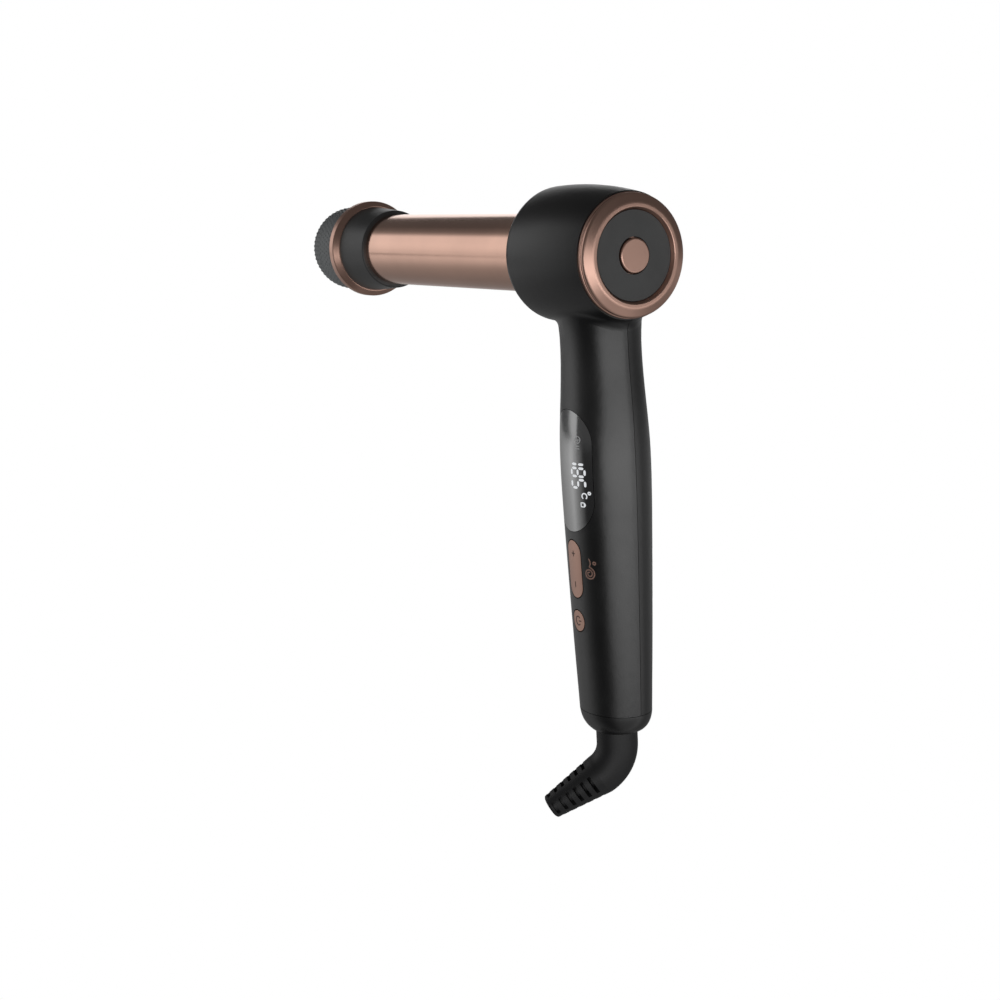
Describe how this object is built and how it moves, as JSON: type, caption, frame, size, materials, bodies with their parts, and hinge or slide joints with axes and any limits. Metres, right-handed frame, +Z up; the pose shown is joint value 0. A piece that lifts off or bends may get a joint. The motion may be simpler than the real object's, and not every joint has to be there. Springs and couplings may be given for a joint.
{
  "type": "automatic hair curler",
  "caption": "Hand-held rotating curling iron: a rose-gold heated barrel with cool tip, a drum-shaped head, and an upright black handle with display, rocker, power button and cord swivel.",
  "frame": {"origin": "on the handle axis in the middle of the grip, 105 mm below the barrel axis", "axes": "+Z up the handle to the head, -X along the barrel to the cool tip, -Y out of the control face"},
  "size_m": [0.247, 0.0551, 0.2576],
  "materials": {
    "black_shell": "fine satin black",
    "satin_black": "satin black",
    "grey_cover": "matte dark grey",
    "cool_tip_grey": "dotted dark grey",
    "rose_gold_barrel": "polished rose gold",
    "rose_gold_trim": "satin rose gold",
    "window_black": "glossy smoked window",
    "black_rubber": "satin black",
    "steel": "plain steel",
    "bronze": "sintered bronze",
    "bare_aluminium": "extruded",
    "ceramic": "white ceramic",
    "mica": "mica sheet",
    "gear_nylon": "natural nylon",
    "circuit_green": "solder mask",
    "switch_black": "moulded black"
  },
  "bodies": {
    "housing": {"board_screws": "steel", "capacitor": "switch_black", "carrier_front_bush": "ceramic", "carrier_rear_bush": "ceramic", "circuit_board": "circuit_green", "contact_ring_holder": "gear_nylon", "contact_rings": "bronze", "core_tube": "steel", "display_lens": "window_black", "display_module": "switch_black", "end_cap": "black_shell", "front_bezel": "black_shell", "gear_chassis": "steel", "heat_shield": "mica", "heater_carrier": "bare_aluminium", "heater_plate_lower": "ceramic", "heater_plate_upper": "ceramic", "housing_left": "black_shell", "housing_right": "black_shell", "housing_screws": "steel", "hub_bearing": "bronze", "motor": "steel", "motor_plate": "steel", "plate_spacers": "steel", "power_supply": "switch_black", "power_switch": "switch_black", "rear_cover": "grey_cover", "rear_ring": "rose_gold_trim", "rear_switch": "switch_black", "rear_switch_board": "circuit_green", "relay": "gear_nylon", "rocker_bracket": "gear_nylon", "rocker_pin": "steel", "rocker_switches": "switch_black", "spacer_screws": "steel", "temperature_sensor": "steel", "thermal_fuse": "steel"},
    "barrel_assembly": {"barrel_tube": "rose_gold_barrel", "tip_collar": "satin_black", "tip_ring": "rose_gold_trim", "cool_tip": "cool_tip_grey", "tip_screw": "steel", "tip_bearing": "bronze", "barrel_hub": "satin_black", "barrel_gear": "gear_nylon"},
    "motor_rotor": {"motor_pinion": "bronze"},
    "rear_push": {"rear_button": "rose_gold_trim"},
    "rocker": {"rocker_button": "rose_gold_trim"},
    "power_push": {"power_button": "rose_gold_trim"},
    "cord_swivel": {"swivel_neck": "black_rubber", "strain_relief": "black_rubber"}
  },
  "joints": [
    {"name": "barrel_spin", "type": "hinge", "parent": "housing", "child": "barrel_assembly", "pos_m": [0, 0, 0.105], "axis": [1, 0, 0], "continuous": true},
    {"name": "motor_spin", "type": "hinge", "parent": "housing", "child": "motor_rotor", "pos_m": [0, 0, 0.08885], "axis": [1, 0, 0], "continuous": true},
    {"name": "rear_button_press", "type": "slide", "parent": "housing", "child": "rear_push", "axis": [-1, 0, 0], "range_m": [0, 0.0012], "stiffness_N_per_m": 600},
    {"name": "rocker_tilt", "type": "hinge", "parent": "housing", "child": "rocker", "pos_m": [0, -0.0096, -0.019], "axis": [1, 0, 0], "range_deg": [-3, 3], "stiffness_Nm_per_rad": 0.05},
    {"name": "power_press", "type": "slide", "parent": "housing", "child": "power_push", "axis": [0, 1, 0], "range_m": [0, 0.0007], "stiffness_N_per_m": 600},
    {"name": "cord_swivel_turn", "type": "hinge", "parent": "housing", "child": "cord_swivel", "pos_m": [0, 0, -0.088], "axis": [0, 0, 1], "continuous": true}
  ],
  "couplings": [
    {"joint": "motor_spin", "follows": "barrel_spin", "ratio": -3}
  ]
}
